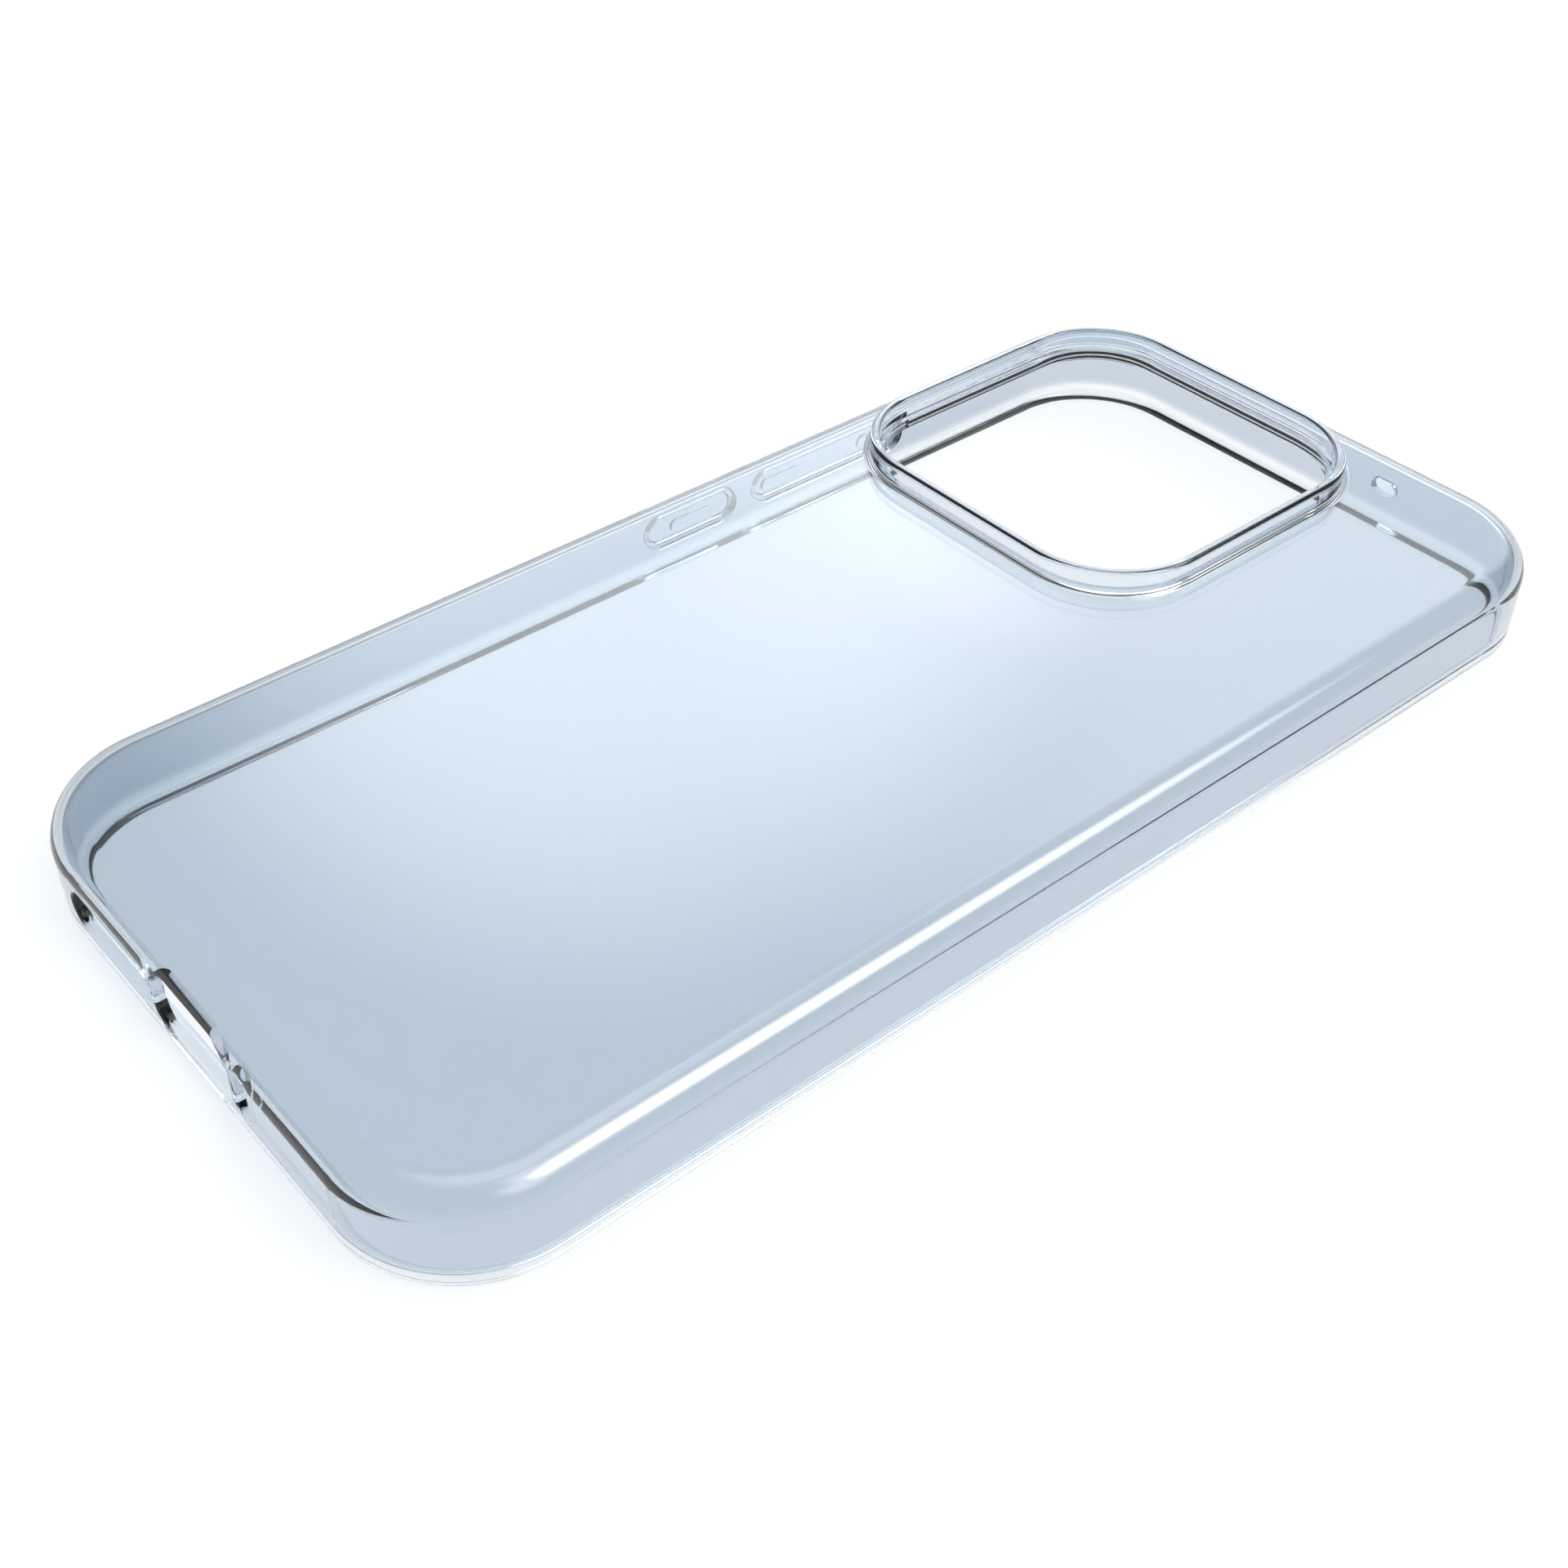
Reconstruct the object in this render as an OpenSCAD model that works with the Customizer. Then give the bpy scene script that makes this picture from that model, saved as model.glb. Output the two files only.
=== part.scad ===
// Clear two-shot phone case: a soft bumper frame around a hard back plate, with a raised
// camera guard and two moulded key covers that press against the phone's side keys.
// The case lies with its back up. +Y points to the phone's top end, +Z out of the back.
// The origin is under the middle of the case, in the plane of the front lip.

/* [Case] */
// Length from the bottom end to the top end
case_l = 153.7; // [153.5:0.1:165]
// Width across the side walls
case_w = 74.1; // [74:0.1:80]
// Thickness from the front lip to the flat of the back
case_h = 10.8; // [10.4:0.1:12]
// Corner radius of the outline
corner_r = 13.6; // [12:0.1:15]
// Radius of the shoulder between the side walls and the back
shoulder_r = 3.3; // [2.5:0.1:3.6]

/* [Walls] */
// Thickness of the soft side walls
wall_t = 1.2; // [1:0.1:1.5]
// Thickness of the hard back plate
plate_t = 1.2; // [1:0.1:1.4]
// Height of the lip that stands in front of the screen
lip_t = 1.3; // [1:0.1:1.4]
// Reach of the lip over the edge of the screen
lip_reach = 1.0; // [0.9:0.1:1.4]
// Distance from the outline to the seam of the back plate
seam_inset = 3.8; // [3.7:0.1:3.9]

/* [Camera window] */
// Sideways place of the window's middle
camera_x = -8.9; // [-9:0.1:0]
// Lengthways place of the window's middle
camera_y = 48.4; // [44:0.1:48.7]
// Outer width of the raised guard
guard_w = 46.5; // [42:0.1:46.6]
// Corner radius of the guard
guard_r = 12.2; // [11:0.1:15]
// Thickness of the guard's wall
guard_t = 1.2; // [1:0.1:1.8]
// Height of the guard above the back
guard_h = 2.6; // [1.5:0.1:3.2]

/* [Ports] */
// Width of the charging port's cut-out
usb_w = 14; // [11:0.5:14.5]
// Width of the loudspeaker's cut-out
speaker_w = 15.4; // [10:0.2:16]
// Height of the loudspeaker's cut-out
speaker_h = 4.5; // [4.2:0.1:5.5]
// Width of the microphone's cut-out
mic_w = 2.6; // [1.6:0.1:3]

/* [Keys] */
// Length of the power key's cover
power_l = 12.2; // [9:0.1:13]
// Lengthways place of the power key
power_y = 7.5; // [4:0.1:8]
// Length of the volume rocker's cover
volume_l = 23; // [18:0.1:24]
// Lengthways place of the volume rocker
volume_y = 29; // [28:0.1:31]
// Width of both covers
key_w = 3.2; // [2.6:0.1:3.6]
// Height of the covers above the side wall
key_proud = 0.4; // [0.2:0.1:0.6]

/* [Hidden] */
$fn = 96;

// Spare length that carries a cut past the face it starts from
over = 1;
// Depth by which stacked solids run into each other
bite = 0.1;
// Depth of the section that is swept around the outline
band = seam_inset + over;
// Radius of the lip's outer edge
lip_edge_r = 0.9;
// Width of the step where the frame laps over the plate's flange
lap_w = seam_inset - shoulder_r;
// Radii inside the pocket, along the back and along the screen
pocket_back_r = shoulder_r - wall_t;
pocket_lip_r = lip_reach - lip_t / 2;
pocket_top = case_h - plate_t;

// Camera guard: crest roundings, cove at the foot and the flange let into the plate
crest_out_r = 0.6;
crest_in_r = 0.4;
cove_r = 0.8;
flange_t = 0.4;
// Width of the ledge that the plate leaves inside the guard
ledge_w = 0.6;
window_w = guard_w - 2 * (guard_t + ledge_w);
window_r = guard_r - guard_t - ledge_w;

// Ports in the bottom wall: places, and heights above the lip's plane
usb_low = lip_t;
usb_high = 8.9;
usb_r = 3;
speaker_x = -15.5;
speaker_z = 4.5;
mic_x = 9.1;
mic_z = 5.3;
mic_h = 5.8;
// Depth of the port cuts, through the wall and the curve behind it
port_depth = 3.4;
// Microphone slot in the top wall
top_mic_x = 12;
top_mic_w = 3.4;
top_mic_h = 1.8;

// Keys: height above the lip's plane, cover and web thicknesses, and gaps. The web lies
// sunk below the face of the wall
key_z = 5.1;
key_t = 1.1;
key_edge_r = 0.4;
nub_h = 0.25;
nub_w = 1.8;
nub_l = 6;
web_w = 0.6;
web_t = 0.35;
web_sunk = 0.6;
web_gap = 0.1;

clear_soft = [0.80, 0.90, 0.98, 0.45];
clear_hard = [0.84, 0.92, 0.98, 0.35];

// ---- Shared shapes ----

// Rectangle with rounded corners, about the origin
module round_rect(w, l, r) {
    square([w, l - 2 * r], center = true);
    square([w - 2 * r, l], center = true);
    for (sx = [-1, 1], sy = [-1, 1]) {
        translate([sx * (w / 2 - r), sy * (l / 2 - r)]) circle(r);
    }
}

// Slot with fully round ends along Y, about the origin
module slot_2d(w, l) {
    square([w, l - w], center = true);
    for (sy = [-1, 1]) {
        translate([0, sy * (l - w) / 2]) circle(w / 2);
    }
}

// What a rounding of radius r takes off a square corner, its centre at the origin
module rounding_waste(r) {
    difference() {
        square(r + over);
        circle(r);
    }
}

// Sweeps a section around a rounded rectangle. The section's X runs outward from the
// centre of a corner, so X = r lies on the outline; its Y becomes Z.
module sweep_around(w, l, r) {
    run = [l - 2 * r, w - 2 * r];
    for (side = [0 : 3]) {
        along = run[side % 2];
        across = run[(side + 1) % 2];
        rotate([0, 0, 90 * side]) translate([across / 2, along / 2, 0]) {
            rotate([90, 0, 0]) linear_extrude(along) children();
            rotate_extrude(angle = 90) children();
        }
    }
}

// ---- Bumper frame ----

// Solid section of the rim, before the pocket is taken out
module rim_section() {
    difference() {
        translate([corner_r - band, 0]) square([band, case_h]);
        translate([corner_r - shoulder_r, case_h - shoulder_r]) rounding_waste(shoulder_r);
        translate([corner_r - lip_edge_r, lip_edge_r]) mirror([0, 1]) rounding_waste(lip_edge_r);
    }
}

// Room for the phone's edge
module pocket_section() {
    inner = corner_r - wall_t;
    difference() {
        translate([inner - band, lip_t]) square([band, pocket_top - lip_t]);
        translate([inner - pocket_back_r, pocket_top - pocket_back_r])
            rounding_waste(pocket_back_r);
        translate([inner - pocket_lip_r, lip_t + pocket_lip_r])
            mirror([0, 1]) rounding_waste(pocket_lip_r);
    }
}

// Screen opening inside the half-round tip of the lip
module mouth_section() {
    tip = corner_r - wall_t - lip_reach + lip_t / 2;
    difference() {
        translate([tip - band, -over]) square([band, lip_t + over]);
        translate([tip, lip_t / 2]) circle(lip_t / 2);
    }
}

// Seat of the back plate: a wide flange below, the visible plate above
module plate_seat_section() {
    translate([corner_r - seam_inset + lap_w - 2 * band, pocket_top - over])
        square([2 * band, over + plate_t / 2]);
    translate([corner_r - seam_inset - 2 * band, case_h - plate_t / 2])
        square([2 * band, plate_t]);
}

module frame_section() {
    difference() {
        rim_section();
        pocket_section();
        mouth_section();
        plate_seat_section();
    }
}

// Cuts made from outside into the bottom wall, drawn in X and Z
module bottom_ports() {
    translate([0, -case_l / 2 + port_depth, 0]) rotate([90, 0, 0])
        linear_extrude(port_depth + over) {
            translate([0, (usb_low + usb_high) / 2]) round_rect(usb_w, usb_high - usb_low, usb_r);
            translate([speaker_x, speaker_z]) rotate(90) slot_2d(speaker_h, speaker_w);
            translate([mic_x, mic_z]) slot_2d(mic_w, mic_h);
        }
}

module top_mic_slot() {
    translate([top_mic_x, case_l / 2 + over, key_z]) rotate([90, 0, 0])
        linear_extrude(port_depth) rotate(90) slot_2d(top_mic_h, top_mic_w);
}

// Puts a shape on the wall beside the keys: its Z points out of the wall, its X up
module on_key_wall(y) {
    translate([-case_w / 2, y, key_z]) rotate([0, -90, 0]) children();
}

module key_window(y, l) {
    on_key_wall(y) translate([0, 0, -wall_t - over / 2])
        linear_extrude(wall_t + over) slot_2d(key_w + 2 * web_w, l + 2 * web_w);
}

module bumper_frame() {
    color(clear_soft) difference() {
        sweep_around(case_w, case_l, corner_r) frame_section();
        bottom_ports();
        top_mic_slot();
        key_window(power_y, power_l);
        key_window(volume_y, volume_l);
    }
}

// ---- Back plate ----

module at_camera() {
    translate([camera_x, camera_y, 0]) children();
}

// Layer of the plate whose edge lies a given distance inside the outline
module plate_layer(inset, low) {
    translate([0, 0, low]) linear_extrude(plate_t / 2)
        round_rect(case_w - 2 * inset, case_l - 2 * inset, corner_r - inset);
}

// Groove that takes the guard's flange
module guard_groove() {
    at_camera() sweep_around(guard_w, guard_w, guard_r)
        translate([guard_r - guard_t, case_h - flange_t])
            square([guard_t + cove_r, flange_t + over]);
}

module back_plate() {
    color(clear_hard) difference() {
        union() {
            plate_layer(seam_inset, case_h - plate_t / 2);
            plate_layer(seam_inset - lap_w, pocket_top);
        }
        at_camera() translate([0, 0, pocket_top - over])
            linear_extrude(plate_t + 2 * over) round_rect(window_w, window_w, window_r);
        guard_groove();
    }
}

// ---- Camera guard ----

module guard_section() {
    difference() {
        union() {
            translate([guard_r - guard_t, case_h - flange_t])
                square([guard_t, flange_t + guard_h]);
            translate([guard_r - guard_t, case_h - flange_t])
                square([guard_t + cove_r, flange_t]);
            difference() {
                translate([guard_r - guard_t / 2, case_h - flange_t / 2])
                    square([guard_t / 2 + cove_r, flange_t / 2 + cove_r]);
                translate([guard_r + cove_r, case_h + cove_r]) circle(cove_r);
            }
        }
        translate([guard_r - crest_out_r, case_h + guard_h - crest_out_r])
            rounding_waste(crest_out_r);
        translate([guard_r - guard_t + crest_in_r, case_h + guard_h - crest_in_r])
            mirror([1, 0]) rounding_waste(crest_in_r);
    }
}

module camera_guard() {
    color(clear_soft) at_camera() sweep_around(guard_w, guard_w, guard_r) guard_section();
}

// ---- Key covers ----

// Round-ended pad with a rounded rim, its foot at Z = 0
module pad(w, l, t, edge_r) {
    linear_extrude(t - edge_r) slot_2d(w, l);
    translate([0, 0, t - edge_r - bite])
        linear_extrude(edge_r + bite) slot_2d(w - 2 * edge_r, l - 2 * edge_r);
    intersection() {
        linear_extrude(t) slot_2d(w, l);
        for (sy = [-1, 1]) {
            translate([0, sy * (l - w) / 2, t - edge_r]) rotate_extrude()
                translate([w / 2 - edge_r, 0]) circle(edge_r);
        }
    }
    for (sx = [-1, 1]) {
        translate([sx * (w / 2 - edge_r), 0, t - edge_r]) rotate([90, 0, 0])
            cylinder(h = l - w, r = edge_r, center = true);
    }
}

module key_cover(y, l, nubs) {
    color(clear_soft) on_key_wall(y) {
        translate([0, 0, key_proud - key_t]) pad(key_w, l, key_t, key_edge_r);
        for (ny = nubs) {
            translate([0, ny, key_proud - key_t - nub_h])
                linear_extrude(nub_h + bite) slot_2d(nub_w, nub_l);
        }
    }
}

module key_web(y, l) {
    color(clear_soft) on_key_wall(y) translate([0, 0, -web_t - web_sunk])
        linear_extrude(web_t) difference() {
            slot_2d(key_w + 2 * web_w, l + 2 * web_w);
            slot_2d(key_w + 2 * web_gap, l + 2 * web_gap);
        }
}

module power_key_cover() {
    key_cover(power_y, power_l, [0]);
}

module power_key_web() {
    key_web(power_y, power_l);
}

module volume_rocker_cover() {
    key_cover(volume_y, volume_l, [-volume_l / 3, volume_l / 3]);
}

module volume_rocker_web() {
    key_web(volume_y, volume_l);
}

bumper_frame();
back_plate();
camera_guard();
power_key_cover();
power_key_web();
volume_rocker_cover();
volume_rocker_web();
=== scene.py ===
"""Looks for the clear phone case: every piece is a fine mesh of the same shape as its CAD node."""
import math

import bmesh
import bpy
from mathutils import Matrix, Vector


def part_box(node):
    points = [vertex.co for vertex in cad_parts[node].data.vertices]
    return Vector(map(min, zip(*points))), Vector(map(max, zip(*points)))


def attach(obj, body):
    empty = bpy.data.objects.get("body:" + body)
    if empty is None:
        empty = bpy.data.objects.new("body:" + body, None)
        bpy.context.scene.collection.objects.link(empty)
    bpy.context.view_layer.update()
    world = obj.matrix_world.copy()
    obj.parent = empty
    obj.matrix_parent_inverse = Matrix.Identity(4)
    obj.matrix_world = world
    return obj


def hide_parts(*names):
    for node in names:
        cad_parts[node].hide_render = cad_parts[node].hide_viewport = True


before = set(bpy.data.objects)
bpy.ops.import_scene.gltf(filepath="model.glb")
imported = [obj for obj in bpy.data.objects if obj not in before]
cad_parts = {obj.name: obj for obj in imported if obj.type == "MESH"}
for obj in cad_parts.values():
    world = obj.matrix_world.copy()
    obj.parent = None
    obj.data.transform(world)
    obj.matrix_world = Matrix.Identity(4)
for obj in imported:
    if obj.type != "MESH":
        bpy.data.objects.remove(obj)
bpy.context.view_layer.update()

MM = 0.001
MICRON = 0.000001

# ---- Sizes in metres: those that the frame's boxes give, and those that they don't show ----

FRAME_LOW, FRAME_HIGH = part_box("bumper_frame")
PLATE_LOW, PLATE_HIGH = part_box("back_plate")
GUARD_LOW, GUARD_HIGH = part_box("camera_guard")

CASE_W = FRAME_HIGH.x - FRAME_LOW.x
CASE_L = FRAME_HIGH.y - FRAME_LOW.y
CASE_H = FRAME_HIGH.z
CORNER_R = 13.6 * MM
SHOULDER_R = 3.3 * MM
WALL_T = 1.2 * MM
PLATE_T = PLATE_HIGH.z - PLATE_LOW.z
POCKET_TOP = PLATE_LOW.z
SEAT_Z = CASE_H - PLATE_T / 2
SEAM = 3.8 * MM
LAP = SEAM - (PLATE_LOW.x - FRAME_LOW.x)
LIP_T = 1.3 * MM
LIP_REACH = 1.0 * MM
LIP_EDGE_R = 0.9 * MM
POCKET_BACK_R = SHOULDER_R - WALL_T
POCKET_LIP_R = LIP_REACH - LIP_T / 2

COVE_R = 0.8 * MM
GUARD_W = GUARD_HIGH.x - GUARD_LOW.x - 2 * COVE_R
GUARD_R = 12.2 * MM
GUARD_T = 1.2 * MM
FLANGE_T = 0.4 * MM
LEDGE_W = 0.6 * MM
CREST_OUT_R = 0.6 * MM
CREST_IN_R = 0.4 * MM
GUARD_MIDDLE = (GUARD_LOW + GUARD_HIGH) / 2

# Port cut-outs: middle in X and in Z, width, height and corner radius
USB = (0.0, 5.1 * MM, 14 * MM, 7.6 * MM, 3 * MM)
SPEAKER = (-15.5 * MM, 4.5 * MM, 15.4 * MM, 4.5 * MM, 2.25 * MM)
MICROPHONE = (9.1 * MM, 5.3 * MM, 2.6 * MM, 5.8 * MM, 1.3 * MM)
TOP_MICROPHONE = (12 * MM, 5.1 * MM, 3.4 * MM, 1.8 * MM, 0.9 * MM)
PORT_EDGE_R = 0.28 * MM

# How far the cutters reach: inward from the outer face of the bottom wall and of the top wall,
# outward from any wall, and inward past the inner face of the wall with the keys
BOTTOM_REACH = 3.4 * MM
TOP_REACH = 2.4 * MM
OUT_REACH = 1.0 * MM
KEY_REACH = 1.0 * MM

KEY_Z = 5.1 * MM
KEY_PROUD = 0.4 * MM
KEY_T = 1.1 * MM
KEY_EDGE_R = 0.4 * MM
NUB_H = 0.25 * MM
NUB_W = 1.8 * MM
NUB_L = 6 * MM
NUB_SLOPE = 0.4 * NUB_H
WEB_W = 0.6 * MM
WEB_T = 0.35 * MM
WEB_GAP = 0.1 * MM
WEB_SUNK = 0.6 * MM
WEB_SAG = 0.08 * MM
KEY_WINDOW_EDGE_R = 0.2 * MM


def key_of(node):
    """Middle along Y and length of a key's cover."""
    low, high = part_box(node)
    return (low.y + high.y) / 2, high.y - low.y


KEY_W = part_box("power_key_cover")[1].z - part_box("power_key_cover")[0].z
POWER_Y, POWER_L = key_of("power_key_cover")
VOLUME_Y, VOLUME_L = key_of("volume_rocker_cover")
KEYS = {"power": (POWER_Y, POWER_L), "volume": (VOLUME_Y, VOLUME_L)}

# Steps of a quarter round: a corner of the case or the guard, a cutter's mouth, a cover's rim, an
# end of a key's slot, a corner of a port, and an end of a nub
CORNER_STEPS = 24
FLARE_STEPS = 6
RIM_STEPS = 8
SLOT_STEPS = 16
PORT_STEPS = 12
NUB_STEPS = 10

# Steps across a web
WEB_STEPS = 6

# Edges sharper than these, in degrees, stay sharp
SHARP = 34
KEY_SHARP = 40

# Material slots of a piece: its own look, and the faces that are moulded to a neighbour
LOOK, BOND = 0, 1


# ---- Materials ----

# Noise of each kind: ripples a metre, and how many finer layers it has
HANDLING = (90, 4)
RIPPLES = (45, 1)
TEXTURE = (2600, 2)

TEXTURE_DEPTH = 0.15 * MICRON

# The handling noise runs the roughness from its least to its most between these values
HANDLED_LOW, HANDLED_HIGH = 0.35, 0.75

# Heights between which the frame's tint fades out towards the lip
FADE_LOW = 1.5 * MM
FADE_HIGH = 2.6 * MM

CLEAR_IOR = 1.49


def noise(tree, kind):
    """Three-dimensional noise in the piece's own space."""
    scale, detail = kind
    place = tree.nodes.new("ShaderNodeTexCoord")
    texture = tree.nodes.new("ShaderNodeTexNoise")
    texture.inputs["Scale"].default_value = scale
    texture.inputs["Detail"].default_value = detail
    tree.links.new(place.outputs["Object"], texture.inputs["Vector"])
    return texture.outputs["Fac"]


def bumped(tree, height, depth, below=None):
    """Bump of a depth in metres, on top of the bump below where there is one."""
    bump = tree.nodes.new("ShaderNodeBump")
    bump.inputs["Strength"].default_value = 1
    bump.inputs["Distance"].default_value = depth
    tree.links.new(height, bump.inputs["Height"])
    if below is not None:
        tree.links.new(below, bump.inputs["Normal"])
    return bump.outputs["Normal"]


def fading_tint(tree, tint, edge_tint):
    """The tint, fading to the edge's paler one where the lip is, low on the case."""
    place = tree.nodes.new("ShaderNodeTexCoord")
    split = tree.nodes.new("ShaderNodeSeparateXYZ")
    tree.links.new(place.outputs["Object"], split.inputs[0])
    height = tree.nodes.new("ShaderNodeMapRange")
    height.interpolation_type = "SMOOTHSTEP"
    height.inputs["From Min"].default_value = FADE_LOW
    height.inputs["From Max"].default_value = FADE_HIGH
    tree.links.new(split.outputs["Z"], height.inputs["Value"])
    colour = tree.nodes.new("ShaderNodeMix")
    colour.data_type = "RGBA"
    pale, full = [socket for socket in colour.inputs if socket.type == "RGBA"]
    pale.default_value, full.default_value = (*edge_tint, 1), (*tint, 1)
    tree.links.new(height.outputs["Result"], colour.inputs["Factor"])
    return next(socket for socket in colour.outputs if socket.type == "RGBA")


def clear_plastic(name, tint, shadow, polish, waves, edge_tint=None):
    """Clear glossy plastic: it bends what is seen through it, and lets light straight through to
    what is behind, coloured by shadow. polish is the roughness at its least and its most, and
    waves is how deep the slow ripples are that moulding leaves in the face. Where edge_tint is
    given, the foot of the case has it."""
    material = bpy.data.materials.new(name)
    material.use_nodes = True
    tree = material.node_tree
    tree.nodes.clear()
    new, join = tree.nodes.new, tree.links.new
    plastic = new("ShaderNodeBsdfPrincipled")
    plastic.inputs["Base Color"].default_value = (*tint, 1)
    if edge_tint is not None:
        join(fading_tint(tree, tint, edge_tint), plastic.inputs["Base Color"])
    plastic.inputs["IOR"].default_value = CLEAR_IOR
    plastic.inputs["Transmission Weight"].default_value = 1
    handled = new("ShaderNodeMapRange")
    handled.inputs["From Min"].default_value = HANDLED_LOW
    handled.inputs["From Max"].default_value = HANDLED_HIGH
    handled.inputs["To Min"].default_value = polish[0]
    handled.inputs["To Max"].default_value = polish[1]
    join(noise(tree, HANDLING), handled.inputs["Value"])
    join(handled.outputs["Result"], plastic.inputs["Roughness"])
    ripple = bumped(tree, noise(tree, RIPPLES), waves)
    join(bumped(tree, noise(tree, TEXTURE), TEXTURE_DEPTH, ripple), plastic.inputs["Normal"])
    through = new("ShaderNodeBsdfTransparent")
    through.inputs["Color"].default_value = (*shadow, 1)
    path = new("ShaderNodeLightPath")
    mix = new("ShaderNodeMixShader")
    out = new("ShaderNodeOutputMaterial")
    either = new("ShaderNodeMath")
    either.operation = "MAXIMUM"
    join(path.outputs["Is Shadow Ray"], either.inputs[0])
    join(path.outputs["Is Diffuse Ray"], either.inputs[1])
    join(either.outputs[0], mix.inputs["Fac"])
    join(plastic.outputs[0], mix.inputs[1])
    join(through.outputs[0], mix.inputs[2])
    join(mix.outputs[0], out.inputs["Surface"])
    return material


def bond():
    """Where two clear parts are moulded to each other, no surface shows."""
    material = bpy.data.materials.new("moulded_joint")
    material.use_nodes = True
    tree = material.node_tree
    tree.nodes.clear()
    clear = tree.nodes.new("ShaderNodeBsdfTransparent")
    clear.inputs["Color"].default_value = (1, 1, 1, 1)
    out = tree.nodes.new("ShaderNodeOutputMaterial")
    tree.links.new(clear.outputs[0], out.inputs["Surface"])
    return material


SOFT = clear_plastic("clear_soft", tint=(0.54, 0.61, 0.685), shadow=(0.93, 0.945, 0.96),
                     polish=(0.02, 0.05), waves=8 * MICRON, edge_tint=(0.90, 0.93, 0.95))
HARD = clear_plastic("clear_hard", tint=(0.54, 0.625, 0.705), shadow=(0.92, 0.94, 0.96),
                     polish=(0.01, 0.035), waves=12 * MICRON)
THIN = clear_plastic("clear_thin", tint=(0.78, 0.83, 0.88), shadow=(0.93, 0.945, 0.96),
                     polish=(0.02, 0.05), waves=6 * MICRON)
JOINT = bond()


# ---- Outlines and sections ----

def arc(centre, radius, start, end, steps):
    """Points on an arc from one angle to another, in degrees, with both ends."""
    points = []
    for k in range(steps + 1):
        a = math.radians(start + (end - start) * k / steps)
        points.append((centre[0] + radius * math.cos(a), centre[1] + radius * math.sin(a)))
    return points


def round_rect(width, length, radius, steps=CORNER_STEPS, middle=(0.0, 0.0)):
    """Outline of a rounded rectangle, counter-clockwise."""
    points = []
    for quarter, (sx, sy) in enumerate(((1, 1), (-1, 1), (-1, -1), (1, -1))):
        centre = (middle[0] + sx * (width / 2 - radius), middle[1] + sy * (length / 2 - radius))
        points += arc(centre, radius, 90 * quarter, 90 * quarter + 90, steps)
    return points


def without_repeats(points, least=1e-7):
    """The closed outline without points that lie on the one before."""
    kept = []
    for point in points:
        if not kept or math.dist(kept[-1], point) > least:
            kept.append(point)
    if math.dist(kept[0], kept[-1]) <= least:
        kept.pop()
    return kept


def stations(width, length, radius):
    """Corner centres and outward directions along the path that a section is swept around."""
    found = []
    for quarter, (sx, sy) in enumerate(((1, 1), (-1, 1), (-1, -1), (1, -1))):
        centre = Vector((sx * (width / 2 - radius), sy * (length / 2 - radius), 0))
        for k in range(CORNER_STEPS + 1):
            a = math.radians(90 * quarter + 90 * k / CORNER_STEPS)
            found.append((centre, Vector((math.cos(a), math.sin(a), 0))))
    return found


def frame_section():
    """The rim's section, from the outer foot up over the shoulder and back inside the pocket.
    Returns its points and the numbers of the segments that the plate is moulded to."""
    lip_tip = WALL_T + LIP_REACH - LIP_T / 2
    points = arc((LIP_EDGE_R, LIP_EDGE_R), LIP_EDGE_R, 270, 180, steps=10)
    points += arc((SHOULDER_R, CASE_H - SHOULDER_R), SHOULDER_R, 180, 90, steps=24)
    first = len(points)
    points += [(SEAM, CASE_H), (SEAM, SEAT_Z), (SEAM - LAP, SEAT_Z)]
    points += arc((WALL_T + POCKET_BACK_R, POCKET_TOP - POCKET_BACK_R), POCKET_BACK_R,
                  90, 180, steps=18)
    points += arc((WALL_T + POCKET_LIP_R, LIP_T + POCKET_LIP_R), POCKET_LIP_R, 180, 270, steps=8)
    points += arc((lip_tip, LIP_T / 2), LIP_T / 2, 90, -90, steps=16)[1:]
    return points, (first, first + 1, first + 2)


def guard_section():
    """The guard's section: the flange let into the plate, the cove at its foot and the crest.
    Insets run inward from the guard's outer wall. Returns its points and the numbers of the
    segments that are moulded to the plate."""
    top = GUARD_HIGH.z
    foot = CASE_H - FLANGE_T
    points = [(GUARD_T, foot), (-COVE_R, foot), (-COVE_R, CASE_H)]
    points += arc((-COVE_R, CASE_H + COVE_R), COVE_R, 270, 360, steps=12)[1:]
    points += arc((CREST_OUT_R, top - CREST_OUT_R), CREST_OUT_R, 180, 90, steps=12)
    points += arc((GUARD_T - CREST_IN_R, top - CREST_IN_R), CREST_IN_R, 90, 0, steps=10)
    points += [(GUARD_T, CASE_H)]
    return points, (0, 1, len(points) - 1)


# ---- Meshes ----

def link(name, mesh):
    """A new object in the scene with this mesh."""
    obj = bpy.data.objects.new(name, mesh)
    bpy.context.scene.collection.objects.link(obj)
    return obj


def mesh_from(name, bm, material=None):
    """A new object from the bmesh; a piece gets its material and the moulded joint's."""
    bmesh.ops.recalc_face_normals(bm, faces=bm.faces[:])
    mesh = bpy.data.meshes.new(name)
    if material is not None:
        mesh.materials.append(material)
        mesh.materials.append(JOINT)
    bm.to_mesh(mesh)
    bm.free()
    return link(name, mesh)


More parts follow.
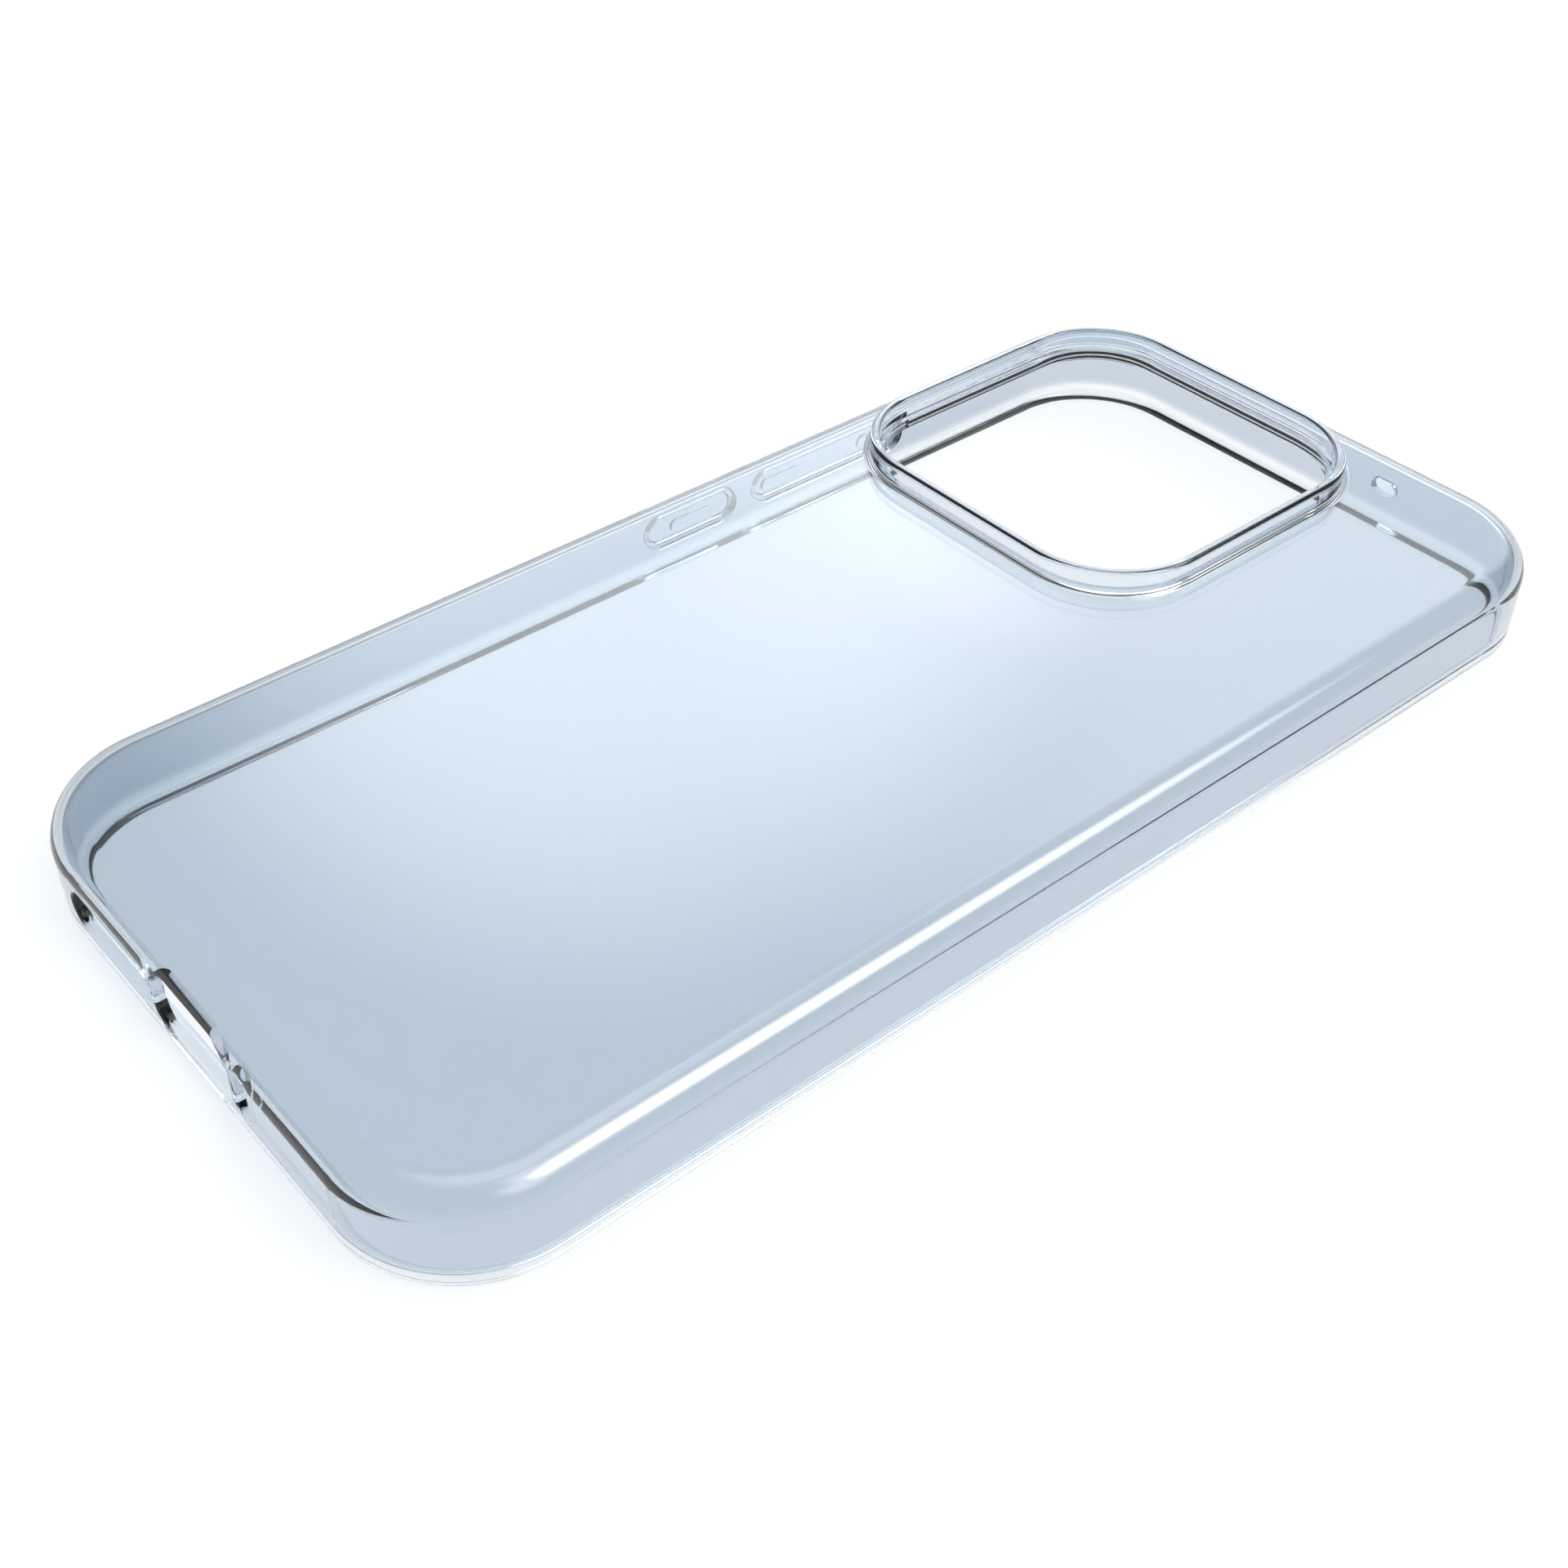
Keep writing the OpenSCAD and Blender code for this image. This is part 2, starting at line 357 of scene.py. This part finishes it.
def swept(name, section, path, material, middle=(0.0, 0.0), bonded=()):
    """Closed section swept around a rounded rectangle. The section is in (inset, Z); bonded holds
    the numbers of its segments that are moulded to a neighbour."""
    bm = bmesh.new()
    width, length, radius = path
    shift = Vector((middle[0], middle[1], 0))
    rings = []
    for centre, out in stations(width, length, radius):
        ring = [bm.verts.new(centre + out * (radius - inset) + shift + Vector((0, 0, z)))
                for inset, z in section]
        rings.append(ring)
    count = len(section)
    for a, b in zip(rings, rings[1:] + rings[:1]):
        for k in range(count):
            j = (k + 1) % count
            face = bm.faces.new((a[k], a[j], b[j], b[k]))
            face.material_index = BOND if k in bonded else LOOK
    return mesh_from(name, bm, material)


def loop(bm, points, place):
    """A closed loop of vertices; place puts an outline's point in space."""
    return [bm.verts.new(place(p)) for p in points]


def bridge(bm, a, b, slot=LOOK):
    """Faces between two loops that have the same count of vertices."""
    for k in range(len(a)):
        j = (k + 1) % len(a)
        bm.faces.new((a[k], a[j], b[j], b[k])).material_index = slot


def loop_edges(bm, verts):
    """Edges of a loop, made where they aren't there yet."""
    found = []
    for k in range(len(verts)):
        pair = (verts[k], verts[(k + 1) % len(verts)])
        found.append(bm.edges.get(pair) or bm.edges.new(pair))
    return found


def fill_between(bm, loops, slot=LOOK):
    """Flat faces between an outer loop and the loops inside it."""
    edges = [e for verts in loops for e in loop_edges(bm, verts)]
    made = bmesh.ops.triangle_fill(bm, use_beauty=True, use_dissolve=False, edges=edges)
    for item in made["geom"]:
        if isinstance(item, bmesh.types.BMFace):
            item.material_index = slot


def cut(obj, cutter):
    """Takes the cutter out of the object by an exact boolean, then removes the cutter."""
    modifier = obj.modifiers.new("cut", "BOOLEAN")
    modifier.operation = "DIFFERENCE"
    modifier.solver = "EXACT"
    modifier.object = cutter
    bpy.context.view_layer.update()
    graph = bpy.context.evaluated_depsgraph_get()
    mesh = bpy.data.meshes.new_from_object(obj.evaluated_get(graph))
    obj.modifiers.clear()
    obj.data = mesh
    bpy.data.objects.remove(cutter)


def flared(name, outline_at, place, flare, ends):
    """Prism whose mouth opens out in a quarter round, so that the edge it cuts is rounded.
    outline_at gives the outline grown by a width, place takes an outline's point and a depth,
    flare is (depth of the face, radius), and ends are the depths of the inner and outer ends."""
    face, radius = flare
    inner, outer = ends
    outward = 1 if outer > inner else -1
    bm = bmesh.new()
    rings = [loop(bm, outline_at(0), lambda p: place(p[0], p[1], inner))]
    for k in range(FLARE_STEPS + 1):
        angle = math.radians(90 * k / FLARE_STEPS)
        grown = radius * (1 - math.cos(angle))
        depth = face - outward * radius * (1 - math.sin(angle))
        rings.append(loop(bm, outline_at(grown), lambda p, d=depth: place(p[0], p[1], d)))
    rings.append(loop(bm, outline_at(radius), lambda p: place(p[0], p[1], outer)))
    for a, b in zip(rings, rings[1:]):
        bridge(bm, a, b)
    bm.faces.new(rings[0])
    bm.faces.new(list(reversed(rings[-1])))
    return mesh_from(name, bm)


def smooth(obj, angle=SHARP):
    """Smooth shading with true flats: sharp edges stay, and big faces keep their own normals."""
    obj.data.shade_smooth()
    obj.data.set_sharp_from_angle(angle=math.radians(angle))
    weighted = obj.modifiers.new("weighted", "WEIGHTED_NORMAL")
    weighted.keep_sharp = True
    weighted.mode = "FACE_AREA"
    return obj


# ---- Sub-parts ----

def port_cutter(name, port, face, ends):
    """Cutter for a port in an end wall; face is the wall's outer face, and ends are the depths of
    the cutter's inner and outer ends."""
    x, z, width, height, radius = port

    def outline(grown):
        return without_repeats(round_rect(width + 2 * grown, height + 2 * grown,
                                          radius + grown, PORT_STEPS, (x, z)))

    def place(u, v, depth):
        return Vector((u, depth, v))

    return flared(name, outline, place, (face, PORT_EDGE_R), ends)


def slot_outline(width, length, grown, steps=SLOT_STEPS):
    """Round-ended slot along its second axis, grown by a width all round."""
    across, along = width + 2 * grown, length + 2 * grown
    return without_repeats(round_rect(across, along, across / 2, steps))


def key_place(y):
    """Puts (height up the wall, run along it, distance out of it) on the wall beside the keys."""
    wall = FRAME_LOW.x
    return lambda u, v, d: Vector((wall - d, y + v, KEY_Z + u))


def key_window_cutter(name, y, length):
    """Cutter for the window in the wall that holds a key's cover and web."""
    def outline(grown):
        return slot_outline(KEY_W + 2 * WEB_W, length + 2 * WEB_W, grown)

    ends = (-WALL_T - KEY_REACH, OUT_REACH)
    return flared(name, outline, key_place(y), (0.0, KEY_WINDOW_EDGE_R), ends)


def make_frame():
    """The soft frame: its rim swept around the case, with the ports and the keys' windows cut."""
    section, bonded = frame_section()
    obj = swept("frame_shell", section, (CASE_W, CASE_L, CORNER_R), SOFT, bonded=bonded)
    bottom, top = FRAME_LOW.y, FRAME_HIGH.y
    for name, port in (("usb", USB), ("speaker", SPEAKER), ("microphone", MICROPHONE)):
        cut(obj, port_cutter(name, port, bottom, (bottom + BOTTOM_REACH, bottom - OUT_REACH)))
    cut(obj, port_cutter("top_mic", TOP_MICROPHONE, top, (top - TOP_REACH, top + OUT_REACH)))
    for name, (y, length) in KEYS.items():
        cut(obj, key_window_cutter(name, y, length))
    return smooth(obj)


def make_plate():
    """The hard back plate: a flange below, the visible plate above, its window and the groove."""
    bm = bmesh.new()
    low, high = POCKET_TOP, CASE_H
    groove = CASE_H - FLANGE_T
    middle = (GUARD_MIDDLE.x, GUARD_MIDDLE.y)

    def ring(inset, z):
        points = round_rect(CASE_W - 2 * inset, CASE_L - 2 * inset, CORNER_R - inset)
        return loop(bm, points, lambda p: Vector((p[0], p[1], z)))

    def camera_ring(inset, z):
        size = GUARD_W - 2 * inset
        points = round_rect(size, size, GUARD_R - inset, middle=middle)
        return loop(bm, points, lambda p: Vector((p[0], p[1], z)))

    flange_low = ring(SEAM - LAP, low)
    flange_high = ring(SEAM - LAP, SEAT_Z)
    seat = ring(SEAM, SEAT_Z)
    edge = ring(SEAM, high)
    groove_top = camera_ring(-COVE_R, high)
    groove_out = camera_ring(-COVE_R, groove)
    groove_in = camera_ring(GUARD_T, groove)
    ledge_out = camera_ring(GUARD_T, high)
    window_high = camera_ring(GUARD_T + LEDGE_W, high)
    window_low = camera_ring(GUARD_T + LEDGE_W, low)
    bridge(bm, flange_low, flange_high, BOND)
    bridge(bm, flange_high, seat, BOND)
    bridge(bm, seat, edge, BOND)
    fill_between(bm, (edge, groove_top))
    bridge(bm, groove_top, groove_out, BOND)
    bridge(bm, groove_out, groove_in, BOND)
    bridge(bm, groove_in, ledge_out, BOND)
    bridge(bm, ledge_out, window_high)
    bridge(bm, window_high, window_low)
    fill_between(bm, (flange_low, window_low))
    return smooth(mesh_from("plate_shell", bm, HARD))


def make_guard():
    """The raised ring around the camera window."""
    section, bonded = guard_section()
    path = (GUARD_W, GUARD_W, GUARD_R)
    middle = (GUARD_MIDDLE.x, GUARD_MIDDLE.y)
    return smooth(swept("guard_ring", section, path, THIN, middle, bonded))


def make_cover(name, y, length, nubs):
    """Key cover: a round-ended pad with a rounded rim, and low nubs that meet the phone's key."""
    bm = bmesh.new()
    place = key_place(y)
    back = KEY_PROUD - KEY_T

    def ring(grown, depth):
        return loop(bm, slot_outline(KEY_W, length, grown), lambda p: place(p[0], p[1], depth))

    def nub_ring(at, grown, depth):
        return loop(bm, slot_outline(NUB_W, NUB_L, grown, NUB_STEPS),
                    lambda p: place(p[0], p[1] + at, depth))

    foot = ring(0, back)
    rings = [foot]
    for k in range(RIM_STEPS + 1):
        angle = math.radians(90 * k / RIM_STEPS)
        rings.append(ring(-KEY_EDGE_R * (1 - math.cos(angle)),
                          KEY_PROUD - KEY_EDGE_R * (1 - math.sin(angle))))
    for a, b in zip(rings, rings[1:]):
        bridge(bm, a, b)
    fill_between(bm, (rings[-1],))
    feet = []
    for at in nubs:
        root = nub_ring(at, 0, back)
        shoulder = nub_ring(at, 0, back - NUB_H + NUB_SLOPE)
        tip = nub_ring(at, -NUB_SLOPE, back - NUB_H)
        bridge(bm, root, shoulder)
        bridge(bm, shoulder, tip)
        fill_between(bm, (tip,))
        feet.append(root)
    fill_between(bm, [foot] + feet)
    return smooth(mesh_from(name, bm, SOFT), KEY_SHARP)


def make_web(name, y, length):
    """Thin ring between the frame and a key cover, hollowed a little on its outer side."""
    bm = bmesh.new()
    place = key_place(y)
    top, bottom = -WEB_SUNK, -WEB_SUNK - WEB_T

    def ring(share, depth):
        grown = WEB_GAP + (WEB_W - WEB_GAP) * share
        return loop(bm, slot_outline(KEY_W, length, grown), lambda p: place(p[0], p[1], depth))

    shares = [k / WEB_STEPS for k in range(WEB_STEPS + 1)]
    rings = [ring(share, top - WEB_SAG * math.sin(math.pi * share)) for share in shares]
    rings += [ring(1 - share, bottom) for share in shares]
    for a, b in zip(rings, rings[1:] + rings[:1]):
        bridge(bm, a, b)
    return smooth(mesh_from(name, bm, SOFT), KEY_SHARP)


# ---- Pieces ----

def piece(obj, node, body):
    """Hangs the object on the empty of the body that it rides, and hides the CAD node that it
    stands for.
    """
    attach(obj, body)
    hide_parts(node)


piece(make_frame(), "bumper_frame", "case")
piece(make_plate(), "back_plate", "case")
piece(make_guard(), "camera_guard", "case")
piece(make_cover("power_cover", POWER_Y, POWER_L, [0]),
      "power_key_cover", "power_key")
piece(make_web("power_web", POWER_Y, POWER_L), "power_key_web", "case")
piece(make_cover("volume_cover", VOLUME_Y, VOLUME_L, [-VOLUME_L / 3, VOLUME_L / 3]),
      "volume_rocker_cover", "volume_rocker")
piece(make_web("volume_web", VOLUME_Y, VOLUME_L), "volume_rocker_web", "case")


# ---- Stage: floor, lights, camera ----

FLOOR_HALF = 6.0
FLOOR_DROP = 0.05 * MM
FLOOR_GREY = 0.74


def make_floor():
    """Plain pale floor, a hair below the case so that the two faces don't meet."""
    bm = bmesh.new()
    bmesh.ops.create_grid(bm, x_segments=1, y_segments=1, size=FLOOR_HALF)
    bmesh.ops.translate(bm, verts=bm.verts[:], vec=(0, 0, -FLOOR_DROP))
    obj = mesh_from("floor", bm)
    material = bpy.data.materials.new("floor")
    material.use_nodes = True
    surface = material.node_tree.nodes["Principled BSDF"]
    surface.inputs["Base Color"].default_value = (FLOOR_GREY, FLOOR_GREY, FLOOR_GREY, 1)
    surface.inputs["Roughness"].default_value = 0.9
    surface.inputs["Specular IOR Level"].default_value = 0.0
    obj.data.materials.append(material)


def aimed(azimuth, elevation):
    """Unit vector towards a place in the studio; azimuth is counted from +X towards +Y."""
    a, e = math.radians(azimuth), math.radians(elevation)
    return Vector((math.cos(a) * math.cos(e), math.sin(a) * math.cos(e), math.sin(e)))


# Softboxes: azimuth, elevation, half width of the full part, half width with its soft edge, all
# in degrees, and radiance
SOFTBOXES = (
    (42, 49, 8, 20, 8.6),
    (146, 33, 2, 15, 3.0),
    (116, 28, 8, 26, 1.65),
    (12, 46, 4, 22, 3.2),
    (34, 67, 5, 15, 3.0),
    (140, 72, 6, 20, 2.2),
)

# Radiance of the dome overhead and at the horizon, the height at which it is full, and the
# radiance of the backdrop
DOME = 0.46
HORIZON = 0.45
DOME_FULL_Z = 0.45
BACKDROP = 1.0


def make_world():
    """The studio: a dim, nearly even dome with soft lamps in it. The backdrop that the camera sees
    directly is plain and pale."""
    world = bpy.data.worlds.new("studio")
    bpy.context.scene.world = world
    world.use_nodes = True
    tree = world.node_tree
    tree.nodes.clear()
    new, join = tree.nodes.new, tree.links.new
    place = new("ShaderNodeTexCoord").outputs["Generated"]

    def ramp(value, low, high, out_low, out_high):
        """Soft step of a value, from one range to another."""
        node = new("ShaderNodeMapRange")
        node.interpolation_type = "SMOOTHSTEP"
        for socket, number in zip(("From Min", "From Max", "To Min", "To Max"),
                                  (low, high, out_low, out_high)):
            node.inputs[socket].default_value = number
        join(value, node.inputs["Value"])
        return node.outputs["Result"]

    def plus(a, b):
        """Sum of two values."""
        node = new("ShaderNodeMath")
        node.operation = "ADD"
        join(a, node.inputs[0])
        join(b, node.inputs[1])
        return node.outputs[0]

    split = new("ShaderNodeSeparateXYZ")
    join(place, split.inputs[0])
    light = ramp(split.outputs["Z"], 0.0, DOME_FULL_Z, HORIZON, DOME)
    for azimuth, elevation, full, faded, radiance in SOFTBOXES:
        facing = new("ShaderNodeVectorMath")
        facing.operation = "DOT_PRODUCT"
        join(place, facing.inputs[0])
        facing.inputs[1].default_value = aimed(azimuth, elevation)
        edges = math.cos(math.radians(faded)), math.cos(math.radians(full))
        light = plus(light, ramp(facing.outputs["Value"], *edges, 0.0, radiance))
    studio = new("ShaderNodeBackground")
    studio.inputs["Color"].default_value = (1, 1, 1, 1)
    join(light, studio.inputs["Strength"])
    backdrop = new("ShaderNodeBackground")
    backdrop.inputs["Color"].default_value = (BACKDROP, BACKDROP, BACKDROP, 1)
    path, mix = new("ShaderNodeLightPath"), new("ShaderNodeMixShader")
    join(path.outputs["Is Camera Ray"], mix.inputs["Fac"])
    join(studio.outputs[0], mix.inputs[1])
    join(backdrop.outputs[0], mix.inputs[2])
    join(mix.outputs[0], new("ShaderNodeOutputWorld").inputs["Surface"])


# The camera: where it stands around its aim, in degrees, the aim, how far off it is, and its lens
VIEW_AZIMUTH = 49.623
VIEW_ELEVATION = 40.44
VIEW_ROLL = 0.347
VIEW_AIM = Vector((-19.016, 7.595, -24.167)) * MM
VIEW_DISTANCE = 252.274 * MM
LENS = 47.31
SENSOR = 36


def make_camera():
    """The camera, with the photo's point of view."""
    azimuth, elevation, roll = map(math.radians, (VIEW_AZIMUTH, VIEW_ELEVATION, VIEW_ROLL))
    back = Vector((math.sin(azimuth) * math.cos(elevation),
                   -math.cos(azimuth) * math.cos(elevation), math.sin(elevation)))
    level = Vector((math.cos(azimuth), math.sin(azimuth), 0))
    upright = back.cross(level)
    right = level * math.cos(roll) + upright * math.sin(roll)
    up = upright * math.cos(roll) - level * math.sin(roll)
    data = bpy.data.cameras.new("camera")
    data.lens, data.sensor_width = LENS, SENSOR
    data.clip_start, data.clip_end = 0.01, 30
    obj = bpy.data.objects.new("camera", data)
    bpy.context.scene.collection.objects.link(obj)
    turn = Matrix((right, up, back)).transposed().to_4x4()
    obj.matrix_world = Matrix.Translation(VIEW_AIM + back * VIEW_DISTANCE) @ turn
    bpy.context.scene.camera = obj


# Enough bounces for light to get through every wall of the case, and none spent on caustics
BOUNCES = 24


def set_light_paths():
    """Plain view transform, and the light paths that clear plastic needs."""
    scene = bpy.context.scene
    scene.view_settings.view_transform = "Standard"
    scene.cycles.transparent_max_bounces = BOUNCES
    scene.cycles.transmission_bounces = BOUNCES
    scene.cycles.max_bounces = BOUNCES
    scene.cycles.caustics_reflective = False
    scene.cycles.caustics_refractive = False


make_floor()
make_world()
make_camera()
set_light_paths()
